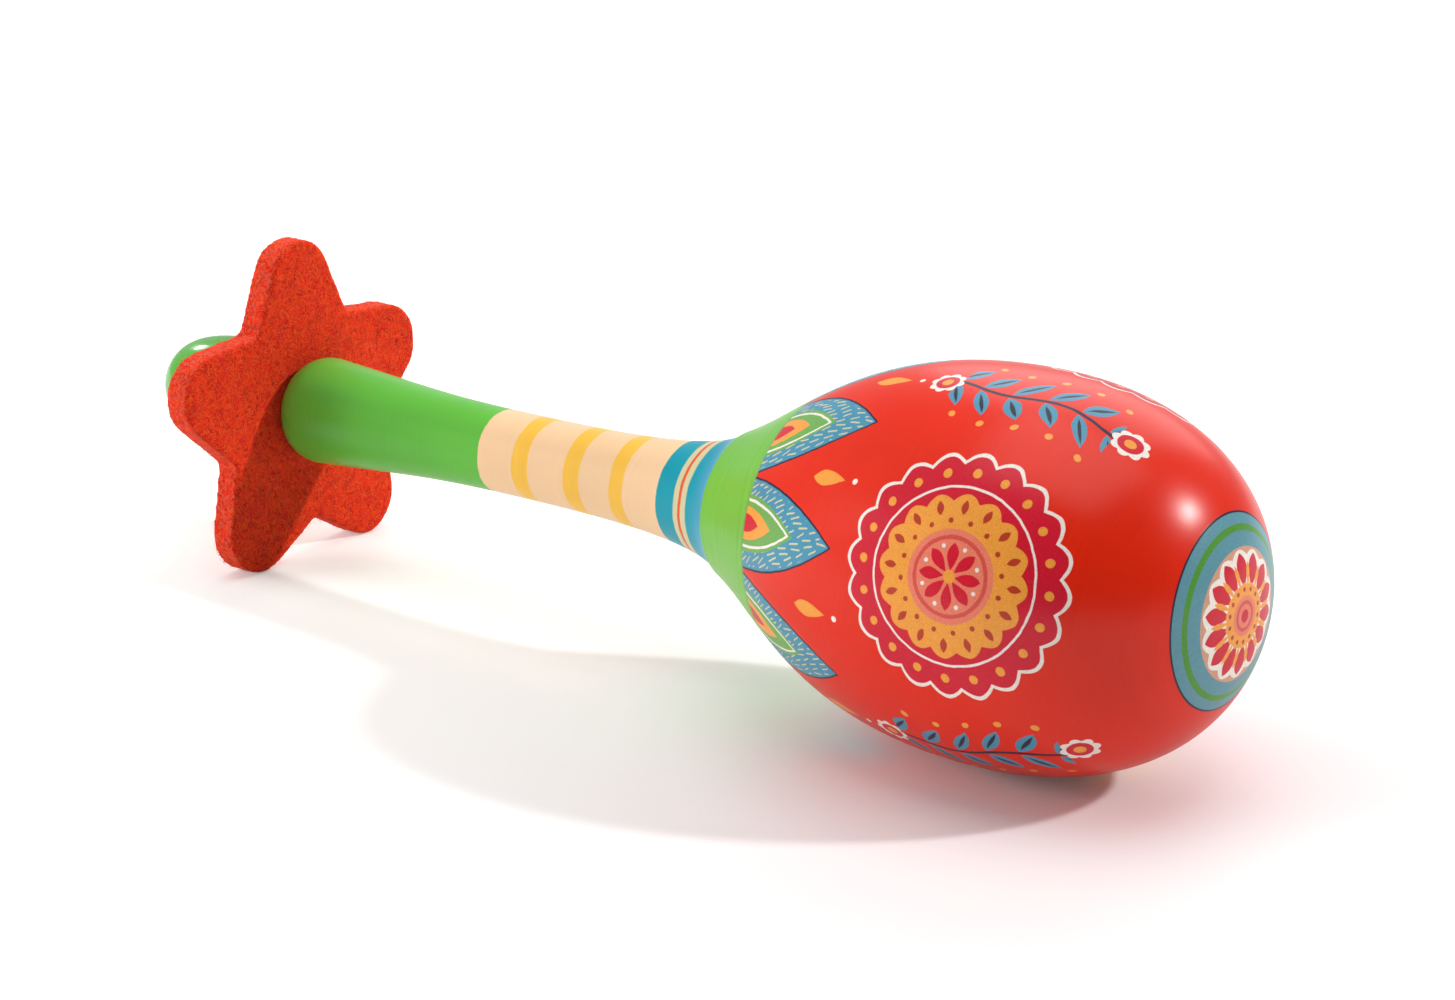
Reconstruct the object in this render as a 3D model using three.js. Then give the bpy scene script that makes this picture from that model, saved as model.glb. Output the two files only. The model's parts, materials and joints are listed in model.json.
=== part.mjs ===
// A child's painted wooden maraca, modelled as it is made: a hollow egg-shaped head turned in two halves,
// a turned handle whose tenon is glued into the head, and a thick felt flower held between the handle's
// butt and a domed knob by one dowel. Loose beads lie in the head's chamber.
//
// Millimetres. The pieces are placed along the maraca's own axis, +X from the butt to the nose, with x = 0
// on the front face of the felt. The finished maraca then leans until its head and two petals stand on z = 0.
import * as THREE from "three";

// Head, outside
const headRadius = 28.6;
const neckRadius = 11.8;
const headRearLength = 47.8;
const headFrontLength = 37.2;
const neckFlareAngle = THREE.MathUtils.degToRad(24);
const neckPullShare = 0.29;
const bellyPullShare = 0.54;
const noseRoundness = 2.25;

// Head, inside
const headWall = 5.2;
const noseWall = 5.6;
const socketRadius = 5.15;
const socketLength = 16;
const chamberRoundness = 2.4;
const spigotLength = 4;
const spigotWall = 2.4;

// Handle
const handleLength = 95;
const buttRadius = 8.9;
const buttFlatRadius = 6;
const buttRoundLength = 4.4;
const waistRadius = 6.7;
const waistPlace = 51;
const waistPullShare = 0.46;
const flarePull = 7.6;
const flareAngle = THREE.MathUtils.degToRad(38);
const tenonChamfer = 0.8;

// Felt flower
const petalCount = 5;
const petalReach = 29.1;
const petalTipRadius = 7;
const notchReach = 18.6;
const notchRadius = 1.6;
const feltThickness = 5;
const feltEdgeRound = 0.8;
const flowerDrop = 0.8;

// End knob and the dowel that holds it
const knobLength = 26.9;
const knobFrontRadius = 9.5;
const knobDomeRadius = 9.1;
const knobEdgeRound = 1;
const dowelRadius = 3;
const dowelChamfer = 0.5;
const handleHoleDepth = 16;
const knobHoleDepth = 14;

// Rattle beads, a hexagon of them on the chamber's floor
const beadRadius = 3;
const beadRings = 2;
const beadSpacing = 0.4;

// Clearances
const glueLine = 0.1;
const slipFit = 0.15;
const endGap = 0.5;
const beadGap = 0.3;

// Facets
const turnedFacets = 40;
const curveSteps = 13;
const bowlSteps = 11;
const roundSteps = 4;
const petalTipSteps = [2, 5, 2];
const notchSteps = 3;

// Places along the axis
const headStart = handleLength + glueLine;
const widest = headStart + headRearLength;
const feltBack = -feltThickness - glueLine;
const knobStart = feltBack - glueLine;
const knobEnd = knobStart - knobLength;
const chamberRadius = headRadius - headWall;
const rearBowlDepth = headRearLength - socketLength;
const frontBowlDepth = headFrontLength - noseWall;

// A point of a turned outline: how far along the axis, and how far out from it.
function at(along, out) {
  return new THREE.Vector2(along, out);
}

// A turned piece: a closed outline in the plane of the axis, spun round +X.
function turned(outline) {
  const profile = outline.map((point) => new THREE.Vector2(point.y, point.x));
  return new THREE.LatheGeometry(profile, turnedFacets).rotateZ(-Math.PI / 2);
}

// A quarter of an egg from its widest circle to its end, which is square-shouldered above a roundness of 2.
// It stops where it comes in to the radius of a hole in its end.
function eggQuarter(start, length, radius, roundness, steps, holeRadius = 0) {
  const power = 2 / roundness;
  const last = Math.acos(Math.pow(holeRadius / radius, 1 / power));
  return Array.from({ length: steps + 1 }, (_, i) => {
    const turn = (last * i) / steps;
    const along = start + length * Math.pow(Math.sin(turn), power);
    return at(along, i === steps ? holeRadius : radius * Math.pow(Math.cos(turn), power));
  });
}

// A smooth stretch of outline between two points, leaving the first and reaching the second at given slopes.
function sweep(from, fromAngle, fromPull, to, toAngle, toPull, steps) {
  const leave = at(from.x + fromPull * Math.cos(fromAngle), from.y + fromPull * Math.sin(fromAngle));
  const reach = at(to.x - toPull * Math.cos(toAngle), to.y - toPull * Math.sin(toAngle));
  return new THREE.CubicBezierCurve(from, leave, reach, to).getPoints(steps);
}

// The outside of the head from the neck to its widest circle.
function headRearOutline() {
  const neck = at(headStart, neckRadius);
  const belly = at(widest, headRadius);
  const neckPull = neckPullShare * headRearLength;
  const bellyPull = bellyPullShare * headRearLength;
  return sweep(neck, neckFlareAngle, neckPull, belly, 0, bellyPull, curveSteps);
}

// The rear half of the head: a socket for the handle, then a bowl, then a rabbet for the front half's spigot.
function headRearHalf() {
  const rabbetRadius = chamberRadius + spigotWall + slipFit;
  const rabbetStart = widest - spigotLength - slipFit;
  const bowl = eggQuarter(widest, -rearBowlDepth, chamberRadius, chamberRoundness, bowlSteps, socketRadius);
  const bowlBeforeRabbet = bowl.filter((point) => point.x < rabbetStart - slipFit);
  const rabbetFloor = at(rabbetStart, chamberRadiusAt(rabbetStart));
  return turned([
    at(headStart, socketRadius),
    ...headRearOutline(),
    at(widest, rabbetRadius),
    at(rabbetStart, rabbetRadius),
    rabbetFloor,
    ...bowlBeforeRabbet,
    at(headStart, socketRadius),
  ]);
}

// The front half of the head: the nose, with a bowl inside and a spigot that laps into the rear half.
function headFrontHalf() {
  const start = widest + glueLine;
  const spigotRadius = chamberRadius + spigotWall;
  const spigotStart = widest - spigotLength;
  const bowl = eggQuarter(start, frontBowlDepth - glueLine, chamberRadius, noseRoundness, bowlSteps);
  const nose = eggQuarter(start, headFrontLength - glueLine, headRadius, noseRoundness, curveSteps);
  return turned([
    ...bowl.toReversed(),
    at(spigotStart, chamberRadiusAt(spigotStart)),
    at(spigotStart, spigotRadius),
    at(start, spigotRadius),
    ...nose,
  ]);
}

// The chamber's radius at a place along the axis.
function chamberRadiusAt(along) {
  const front = along > widest;
  const depth = front ? frontBowlDepth : rearBowlDepth;
  const roundness = front ? noseRoundness : chamberRoundness;
  const share = Math.min(Math.abs(along - widest) / depth, 1);
  return chamberRadius * Math.pow(1 - Math.pow(share, roundness), 1 / roundness);
}

// The handle: a hole for the dowel in a domed butt, a waisted grip, a flare to the head and a tenon.
function handle() {
  const tenonRadius = socketRadius - slipFit;
  const bowlMouth = eggQuarter(widest, -rearBowlDepth, chamberRadius, chamberRoundness, 1, socketRadius)[1];
  const tenonEnd = bowlMouth.x - endGap;
  const holeRadius = dowelRadius + slipFit;
  const butt = new THREE.EllipseCurve(
    buttRoundLength,
    buttFlatRadius,
    buttRoundLength,
    buttRadius - buttFlatRadius,
    Math.PI,
    Math.PI / 2,
    true,
  ).getPoints(roundSteps);
  const grip = at(buttRoundLength, buttRadius);
  const waist = at(waistPlace, waistRadius);
  const flare = at(handleLength, neckRadius);
  const gripLength = waistPlace - buttRoundLength;
  const gripAngle = Math.atan2((waistRadius - buttRadius) * (1 + waistPullShare), gripLength);
  const gripPull = gripLength * waistPullShare;
  const waistPull = (handleLength - waistPlace) * waistPullShare;
  return turned([
    at(handleHoleDepth, 0),
    at(handleHoleDepth, holeRadius),
    at(0, holeRadius),
    ...butt.slice(0, -1),
    ...sweep(grip, gripAngle, gripPull, waist, 0, gripPull, curveSteps).slice(0, -1),
    ...sweep(waist, 0, waistPull, flare, flareAngle, flarePull, curveSteps),
    at(handleLength, tenonRadius),
    at(tenonEnd - tenonChamfer, tenonRadius),
    at(tenonEnd, tenonRadius - tenonChamfer),
    at(tenonEnd, 0),
  ]);
}

// Points along an arc, both ends included.
function arc(centre, radius, from, to, steps) {
  return Array.from({ length: steps + 1 }, (_, i) => {
    const angle = from + ((to - from) * i) / steps;
    return new THREE.Vector2(centre.x + radius * Math.cos(angle), centre.y + radius * Math.sin(angle));
  });
}

function polar(radius, angle) {
  return new THREE.Vector2(radius * Math.cos(angle), radius * Math.sin(angle));
}

const petalStep = (2 * Math.PI) / petalCount;
const petalTipPlace = petalReach - petalTipRadius;
const notchPlace = notchReach + notchRadius;

// The angle, from a petal's middle line, at which its straight flank touches its round tip.
function flankAngle() {
  const between = polar(notchPlace, petalStep / 2).sub(polar(petalTipPlace, 0));
  const swing = Math.acos((petalTipRadius + notchRadius) / between.length());
  return between.angle() - swing;
}

// One petal and the notch after it. The flank touches the round tip and the filleted notch.
function petal(direction) {
  const tip = polar(petalTipPlace, direction);
  const notch = polar(notchPlace, direction + petalStep / 2);
  const flank = flankAngle();
  const lowest = petalStep / 2;
  const stops = [-flank, -lowest, lowest, flank];
  const tipArc = petalTipSteps.flatMap((steps, i) => {
    const points = arc(tip, petalTipRadius, direction + stops[i], direction + stops[i + 1], steps);
    return i ? points.slice(1) : points;
  });
  const notchFrom = direction + flank + Math.PI;
  const notchTo = direction + petalStep - flank + Math.PI;
  return [...tipArc, ...arc(notch, notchRadius, notchFrom, notchTo, notchSteps)];
}

// The felt flower: two petals point down on either side of the middle, so the maraca stands on them.
// The punched hole is a little larger than the dowel, and the flower hangs low by the difference.
function feltFlower() {
  const directions = Array.from({ length: petalCount }, (_, i) => petalStep * (i + 1 / 2));
  const outline = new THREE.Shape(directions.flatMap(petal));
  const holeRadius = dowelRadius + slipFit + flowerDrop;
  const hole = arc(new THREE.Vector2(), holeRadius, 2 * Math.PI, 0, turnedFacets).slice(1);
  outline.holes.push(new THREE.Path(hole));
  const geometry = new THREE.ExtrudeGeometry(outline, {
    depth: feltThickness - 2 * feltEdgeRound,
    bevelThickness: feltEdgeRound,
    bevelSize: feltEdgeRound,
    bevelOffset: -feltEdgeRound,
    bevelSegments: 2,
  });
  return geometry.rotateY(Math.PI / 2).translate(feltBack + feltEdgeRound, 0, -flowerDrop);
}

// The end knob: an eased front edge against the felt, a slight taper and a domed end.
function endKnob() {
  const holeRadius = dowelRadius + slipFit;
  const holeEnd = knobStart - knobHoleDepth;
  const edge = arc(
    at(knobStart - knobEdgeRound, knobFrontRadius - knobEdgeRound),
    knobEdgeRound,
    0,
    Math.PI / 2,
    roundSteps,
  );
  const domeStart = knobEnd + knobDomeRadius;
  const dome = arc(at(domeStart, 0), knobDomeRadius, Math.PI / 2, Math.PI, curveSteps);
  dome.at(-1).y = 0;
  return turned([
    at(holeEnd, 0),
    at(holeEnd, holeRadius),
    at(knobStart, holeRadius),
    ...edge,
    ...dome,
  ].toReversed());
}

// The dowel: it stops short of the bottom of both holes.
function dowel() {
  const front = handleHoleDepth - endGap;
  const back = knobStart - knobHoleDepth + endGap;
  const endRadius = dowelRadius - dowelChamfer;
  return turned([
    at(back, 0),
    at(back, endRadius),
    at(back + dowelChamfer, dowelRadius),
    at(front - dowelChamfer, dowelRadius),
    at(front, endRadius),
    at(front, 0),
  ]);
}

// How far from the axis a bead's centre lies when the bead rests on the chamber's wall.
function beadSeatAt(along) {
  const reach = beadRadius + beadGap;
  const samples = Array.from({ length: 2 * turnedFacets - 1 }, (_, i) => {
    const offset = reach * ((i + 1) / turnedFacets - 1);
    return chamberRadiusAt(along + offset) - Math.sqrt(reach ** 2 - offset ** 2);
  });
  return Math.min(...samples);
}

// The beads' places: rings of a hexagon round the lowest point, each lying on the curved floor.
function beadPlaces() {
  const pitch = 2 * beadRadius + beadSpacing;
  const rowPitch = pitch * Math.sin(Math.PI / 3);
  const places = [];
  for (let row = -beadRings; row <= beadRings; row++) {
    for (let column = -beadRings; column <= beadRings; column++) {
      if (Math.abs(row + column) > beadRings) continue;
      const along = widest + (column + row / 2) * pitch;
      const across = row * rowPitch;
      const drop = Math.sqrt(beadSeatAt(along) ** 2 - across ** 2);
      places.push(new THREE.Vector3(along, across, -drop));
    }
  }
  return places;
}

// The lean at which the head's belly and the back edge of the two lowest petals touch one plane.
function restingLean() {
  const petalDrop = petalTipPlace * Math.cos(petalStep / 2) + petalTipRadius + flowerDrop;
  const petalEdge = feltBack + feltEdgeRound;
  const slopes = headRearOutline().map((point) => (point.y - petalDrop) / (point.x - petalEdge));
  return Math.atan(Math.max(...slopes));
}

const greenLacquer = { color: 0x4fae3a, roughness: 0.38 };
const redLacquer = { color: 0xd6301f, roughness: 0.32 };
const redFelt = { color: 0xc8351d, roughness: 1 };
const bareBeech = { color: 0xd9b98a, roughness: 0.7 };

const maraca = new THREE.Group();

function addPiece(name, geometry, look) {
  const piece = new THREE.Mesh(geometry, new THREE.MeshStandardMaterial(look));
  piece.name = name;
  maraca.add(piece);
  return piece;
}

addPiece("head_rear_half", headRearHalf(), redLacquer);
addPiece("head_front_half", headFrontHalf(), redLacquer);
addPiece("handle", handle(), greenLacquer);
addPiece("felt_flower", feltFlower(), redFelt);
addPiece("end_knob", endKnob(), greenLacquer);
addPiece("dowel", dowel(), bareBeech);
beadPlaces().forEach((place, i) => {
  const name = "bead_" + String(i + 1).padStart(2, "0");
  const bead = addPiece(name, new THREE.IcosahedronGeometry(beadRadius, 1), bareBeech);
  bead.position.copy(place);
});

// It stands on its belly and two petals, with the origin under the middle of its length.
maraca.rotation.y = -restingLean();
const standing = new THREE.Box3().setFromObject(maraca, true);
maraca.position.set(-(standing.min.x + standing.max.x) / 2, 0, -standing.min.z);

const part = new THREE.Group();
part.add(maraca);

export default part;
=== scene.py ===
# %% [markdown]
# # A child's painted wooden maraca
#
# The real toy is a hollow wooden egg on a turned handle. Behind the handle sits a thick felt flower, and
# a round knob pegged on through the flower keeps it in place. Beads roll inside the egg. This lesson dresses
# the plain construction model: it keeps every size and place, and adds the smooth turning, the felt, the
# lacquer and the painted ornament. The construction model comes first, because each new piece is put where
# that model says.

# %% Load the frame
import json
import math
import random

import bpy
from mathutils import Matrix, Vector, geometry, noise


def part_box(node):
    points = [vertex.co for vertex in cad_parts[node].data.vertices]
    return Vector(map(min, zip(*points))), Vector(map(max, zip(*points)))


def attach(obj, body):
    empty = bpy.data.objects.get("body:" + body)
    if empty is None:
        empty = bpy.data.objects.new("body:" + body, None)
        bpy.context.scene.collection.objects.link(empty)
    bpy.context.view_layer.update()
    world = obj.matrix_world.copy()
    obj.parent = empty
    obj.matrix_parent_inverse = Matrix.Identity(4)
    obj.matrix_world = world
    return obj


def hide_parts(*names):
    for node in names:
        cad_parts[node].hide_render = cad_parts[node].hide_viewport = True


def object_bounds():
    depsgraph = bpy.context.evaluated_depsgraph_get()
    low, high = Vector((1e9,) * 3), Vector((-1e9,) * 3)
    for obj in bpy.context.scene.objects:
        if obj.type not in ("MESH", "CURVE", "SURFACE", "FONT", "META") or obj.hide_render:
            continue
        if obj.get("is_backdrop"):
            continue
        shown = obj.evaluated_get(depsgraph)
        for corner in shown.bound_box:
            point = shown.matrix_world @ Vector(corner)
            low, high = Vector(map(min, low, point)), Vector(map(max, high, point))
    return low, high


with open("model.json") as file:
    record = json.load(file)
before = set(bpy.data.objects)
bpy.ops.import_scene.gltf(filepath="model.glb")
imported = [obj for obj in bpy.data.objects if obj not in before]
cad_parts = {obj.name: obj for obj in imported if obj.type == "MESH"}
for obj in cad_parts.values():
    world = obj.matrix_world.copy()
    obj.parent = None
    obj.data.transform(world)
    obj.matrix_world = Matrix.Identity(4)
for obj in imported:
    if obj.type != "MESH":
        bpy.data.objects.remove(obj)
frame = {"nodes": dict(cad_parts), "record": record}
cad_box = [list(corner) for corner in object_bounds()]

# %% [markdown]
# ## The maraca's own axis
#
# The maraca lies on its belly and two petals, so its axis leans a little. Everything is easier to make along
# a level axis and to lay down at the end. The frame names the place on the waist where a hand grips the
# handle and the way the axis points there, and these two give the whole placement. Along the axis, nothing
# is the front face of the felt and the nose is 180 mm away.

# %% Find the axis
MM = 0.001
WAIST_PLACE = 51 * MM
grip = frame["record"]["mounts"][0]
nose_way = -Vector(grip["axis"]).normalized()
LEAN = math.asin(nose_way.z)
FELT_FRONT = Vector(grip["pos_m"]) - nose_way * WAIST_PLACE
TO_ROW = Matrix.Translation(FELT_FRONT) @ Matrix.Rotation(-LEAN, 4, "Y")
print("The axis rises", round(math.degrees(LEAN), 2), "degrees from", FELT_FRONT[:])

# %% [markdown]
# ## Three helpers for modelling
#
# An operator acts on everything that is selected, so each piece starts with nothing selected. A finished
# piece is laid down by giving it the placement and applying it, which leaves its object at the origin. Then
# it rides on the maraca's body and stands for its plain construction piece.


# %% Start and finish a piece
def start_piece(name, add, **settings):
    """Adds a primitive with nothing else selected, and opens it in edit mode."""
    bpy.ops.object.select_all(action="DESELECT")
    add(**settings)
    piece = bpy.context.object
    piece.name = name
    piece.data.name = name
    bpy.ops.object.mode_set(mode="EDIT")
    return piece


def lay_down(piece):
    """Moves a piece made along the level axis to its real place, with its place in its mesh."""
    bpy.ops.object.select_all(action="DESELECT")
    piece.select_set(True)
    bpy.context.view_layer.objects.active = piece
    piece.matrix_world = TO_ROW
    bpy.ops.object.transform_apply(location=True, rotation=True, scale=True)


def apply_modifier(piece, kind, **settings):
    """Adds a modifier and applies it at once."""
    bpy.context.view_layer.objects.active = piece
    modifier = piece.modifiers.new(kind, kind)
    for name, value in settings.items():
        setattr(modifier, name, value)
    bpy.ops.object.modifier_apply(modifier=modifier.name)


# %% [markdown]
# ## Turned wood
#
# The head, the handle and the knob are turned on a lathe, so each is one outline swept round the axis. The
# outline is drawn by pulling a single vertex from point to point, and the spin operator turns that line
# into the solid. Bought curves in wood are rarely plain circles: the neck and the waist are bends between
# two slopes, and the egg's nose is a little squarer than an ellipse.

# %% Draw and spin an outline
SPIN_STEPS = 192
WELD = 0.002 * MM
SMOOTH_BELOW = math.radians(35)


def at(along, out):
    """A point of an outline: how far along the axis, and how far out from it."""
    return Vector((along, 0, out))


def slope(pull, angle):
    return at(pull * math.cos(angle), pull * math.sin(angle))


def bend(start, start_angle, start_pull, end, end_angle, end_pull, steps):
    """A smooth stretch between two points that leaves and arrives at given slopes."""
    leave = start + slope(start_pull, start_angle)
    arrive = end - slope(end_pull, end_angle)
    return geometry.interpolate_bezier(start, leave, arrive, end, steps + 1)


def egg_quarter(start, length, radius, roundness, steps, hole=0):
    """From the widest circle to the end, or to a hole in the end. An ellipse has a roundness of 2."""
    last = math.acos((hole / radius) ** (roundness / 2))
    turns = [last * i / steps for i in range(steps + 1)]
    curve = [at(start + length * math.sin(t) ** (2 / roundness),
                radius * abs(math.cos(t)) ** (2 / roundness)) for t in turns]
    curve[-1].z = hole
    return curve


def turned(name, outline):
    """Pulls one vertex along the outline, then spins the line round the axis."""
    piece = start_piece(name, bpy.ops.mesh.primitive_plane_add, size=MM)
    bpy.ops.mesh.merge(type="CENTER")
    bpy.ops.transform.translate(value=outline[0])
    for here, there in zip(outline, outline[1:]):
        bpy.ops.mesh.extrude_vertices_move(TRANSFORM_OT_translate={"value": there - here})
    bpy.ops.mesh.select_all(action="SELECT")
    bpy.ops.mesh.spin(steps=SPIN_STEPS, angle=2 * math.pi, center=(0, 0, 0), axis=(1, 0, 0))
    bpy.ops.mesh.select_all(action="SELECT")
    bpy.ops.mesh.remove_doubles(threshold=WELD)
    bpy.ops.mesh.normals_make_consistent(inside=False)
    bpy.ops.object.mode_set(mode="OBJECT")
    bpy.ops.object.shade_smooth_by_angle(angle=SMOOTH_BELOW)
    lay_down(piece)
    print(name, "has", len(piece.data.polygons), "faces")
    return piece


def bare_inside(piece, wood):
    """Gives bare wood to the faces that look towards the axis, such as a bowl or a drilled hole."""
    piece.data.materials.append(wood)
    to_axis = TO_ROW.inverted()
    for face in piece.data.polygons:
        centre = to_axis @ face.center
        outward = Vector((0, centre.y, centre.z))
        if outward.dot(to_axis.to_3x3() @ face.normal) < 0:
            face.material_index = 1


def dress(piece, node):
    """The piece rides on the maraca's body, and its construction piece is hidden."""
    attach(piece, "maraca")
    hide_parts(node)


# %% [markdown]
# ## The head
#
# The head is turned in two halves that lap at the widest circle: the nose half has a spigot that slides
# into a rabbet in the neck half. Both are hollow, with a wall of about 5 mm. On the real toy the lacquer
# covers the seam, so both halves meet here on one circle and share its slope, and the seam vanishes.

# %% Shape the head
HANDLE_LENGTH = 95 * MM
GLUE_LINE = 0.1 * MM
HEAD_RADIUS = 28.6 * MM
NECK_RADIUS = 11.8 * MM
HEAD_REAR_LENGTH = 47.8 * MM
HEAD_FRONT_LENGTH = 37.2 * MM
NECK_FLARE = math.radians(24)
NECK_PULL_SHARE = 0.29
BELLY_PULL_SHARE = 0.54
NOSE_ROUNDNESS = 2.25
WALL = 5.2 * MM
NOSE_WALL = 5.6 * MM
SOCKET_RADIUS = 5.15 * MM
SOCKET_LENGTH = 16 * MM
CHAMBER_ROUNDNESS = 2.4
SPIGOT_LENGTH = 4 * MM
SPIGOT_RADIUS = HEAD_RADIUS - WALL + 2.4 * MM
SLIP_FIT = 0.15 * MM
LONG_STEPS = 64
BOWL_STEPS = 24
ROUND_STEPS = 12

NECK_PLACE = HANDLE_LENGTH + GLUE_LINE / 2
WIDEST = HANDLE_LENGTH + GLUE_LINE + HEAD_REAR_LENGTH
SEAM_PLACE = WIDEST + GLUE_LINE / 2
NOSE_TIP = WIDEST + HEAD_FRONT_LENGTH
CHAMBER_RADIUS = HEAD_RADIUS - WALL


def rear_head_outline():
    neck = at(NECK_PLACE, NECK_RADIUS)
    belly = at(SEAM_PLACE, HEAD_RADIUS)
    outside = bend(neck, NECK_FLARE, NECK_PULL_SHARE * HEAD_REAR_LENGTH,
                   belly, 0, BELLY_PULL_SHARE * HEAD_REAR_LENGTH, LONG_STEPS)
    rabbet_floor = WIDEST - SPIGOT_LENGTH - SLIP_FIT
    bowl = egg_quarter(WIDEST, SOCKET_LENGTH - HEAD_REAR_LENGTH, CHAMBER_RADIUS,
                       CHAMBER_ROUNDNESS, BOWL_STEPS, SOCKET_RADIUS)
    bowl = [point for point in bowl if point.x < rabbet_floor]
    return [at(NECK_PLACE, SOCKET_RADIUS), *outside,
            at(SEAM_PLACE, SPIGOT_RADIUS + SLIP_FIT), at(rabbet_floor, SPIGOT_RADIUS + SLIP_FIT),
            at(rabbet_floor, bowl[0].z), *bowl, at(NECK_PLACE, SOCKET_RADIUS)]


def front_head_outline():
    bowl = egg_quarter(WIDEST, HEAD_FRONT_LENGTH - NOSE_WALL, CHAMBER_RADIUS, NOSE_ROUNDNESS, BOWL_STEPS)
    nose = egg_quarter(SEAM_PLACE, NOSE_TIP - SEAM_PLACE, HEAD_RADIUS, NOSE_ROUNDNESS, LONG_STEPS)
    spigot_end = WIDEST - SPIGOT_LENGTH
    return [*reversed(bowl), at(spigot_end, CHAMBER_RADIUS), at(spigot_end, SPIGOT_RADIUS),
            at(SEAM_PLACE, SPIGOT_RADIUS), *nose]


head_rear = turned("head_rear_turned", rear_head_outline())
head_front = turned("head_front_turned", front_head_outline())
dress(head_rear, "head_rear_half")
dress(head_front, "head_front_half")

# %% [markdown]
# ## The handle
#
# The handle is one turning. Its butt is rounded, with a drilled hole for the peg, its waist is the slimmest
# place, and it flares to meet the neck of the head. A tenon on its end is glued into the head's socket.

# %% Shape the handle
BUTT_RADIUS = 8.9 * MM
BUTT_FLAT_RADIUS = 6 * MM
BUTT_ROUND_LENGTH = 4.4 * MM
WAIST_RADIUS = 6.7 * MM
WAIST_PULL_SHARE = 0.46
FLARE_PULL = 7.6 * MM
FLARE_ANGLE = math.radians(38)
TENON_CHAMFER = 0.8 * MM
END_GAP = 0.5 * MM
PEG_RADIUS = 3 * MM
HANDLE_HOLE_DEPTH = 16 * MM


def handle_outline():
    bore = PEG_RADIUS + SLIP_FIT
    tenon_radius = SOCKET_RADIUS - SLIP_FIT
    bowl = egg_quarter(WIDEST, SOCKET_LENGTH - HEAD_REAR_LENGTH, CHAMBER_RADIUS,
                       CHAMBER_ROUNDNESS, 1, SOCKET_RADIUS)
    tenon_end = bowl[-1].x - END_GAP
    quarter = [math.pi / 2 * i / ROUND_STEPS for i in range(ROUND_STEPS)]
    butt = [at(BUTT_ROUND_LENGTH * (1 - math.cos(t)),
               BUTT_FLAT_RADIUS + (BUTT_RADIUS - BUTT_FLAT_RADIUS) * math.sin(t)) for t in quarter]
    shoulder = at(BUTT_ROUND_LENGTH, BUTT_RADIUS)
    waist = at(WAIST_PLACE, WAIST_RADIUS)
    flare = at(NECK_PLACE, NECK_RADIUS)
    grip_length = WAIST_PLACE - BUTT_ROUND_LENGTH
    taper = math.atan2((WAIST_RADIUS - BUTT_RADIUS) * (1 + WAIST_PULL_SHARE), grip_length)
    grip_pull = grip_length * WAIST_PULL_SHARE
    waist_pull = (HANDLE_LENGTH - WAIST_PLACE) * WAIST_PULL_SHARE
    grip_curve = bend(shoulder, taper, grip_pull, waist, 0, grip_pull, LONG_STEPS)
    flare_curve = bend(waist, 0, waist_pull, flare, FLARE_ANGLE, FLARE_PULL, LONG_STEPS)
    return [at(HANDLE_HOLE_DEPTH, 0), at(HANDLE_HOLE_DEPTH, bore), at(0, bore), *butt,
            *grip_curve, *flare_curve[1:], at(NECK_PLACE, tenon_radius),
            at(tenon_end - TENON_CHAMFER, tenon_radius),
            at(tenon_end, tenon_radius - TENON_CHAMFER), at(tenon_end, 0)]


handle = turned("handle_turned", handle_outline())
dress(handle, "handle")

# %% [markdown]
# ## The knob
#
# The knob behind the flower is a short post with an eased front edge, which then rounds over more and more
# towards its end. A single Bezier stretch gives that, and no ring shows where the post stops.

# %% Shape the knob
FELT_THICKNESS = 5 * MM
KNOB_LENGTH = 26.9 * MM
KNOB_RADIUS = 9.5 * MM
KNOB_POST = 6 * MM
KNOB_SIDE_PULL = 17 * MM
KNOB_END_PULL = 7 * MM
KNOB_EDGE = 1 * MM
KNOB_HOLE_DEPTH = 14 * MM
KNOB_FRONT = -FELT_THICKNESS - 2 * GLUE_LINE
KNOB_END = KNOB_FRONT - KNOB_LENGTH


def knob_outline():
    bore = PEG_RADIUS + SLIP_FIT
    hole_end = KNOB_FRONT - KNOB_HOLE_DEPTH
    quarter = [math.pi / 2 * i / ROUND_STEPS for i in range(ROUND_STEPS + 1)]
    edge = [at(KNOB_FRONT - KNOB_EDGE * (1 - math.cos(t)),
               KNOB_RADIUS - KNOB_EDGE * (1 - math.sin(t))) for t in quarter]
    dome = bend(at(KNOB_FRONT - KNOB_POST, KNOB_RADIUS), math.pi, KNOB_SIDE_PULL,
                at(KNOB_END, 0), -math.pi / 2, KNOB_END_PULL, LONG_STEPS)
    dome[-1].z = 0
    return [at(hole_end, 0), at(hole_end, bore), at(KNOB_FRONT, bore), *edge, *dome]


knob = turned("end_knob_turned", knob_outline())
dress(knob, "end_knob")

# %% [markdown]
# ## The felt flower
#
# The flower is punched from a 5 mm sheet of wool felt. Felt has no weave and no hard edge, so the punched
# shape is remeshed into even little squares, and smoothing then rounds the cut. Each petal has a round tip,
# two straight flanks and a filleted notch. The punched hole is larger than the peg, so the flower hangs a
# little low. The petals are free beyond the knob: those on one side lean forward and the others back, as
# on the real toy.

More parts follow.
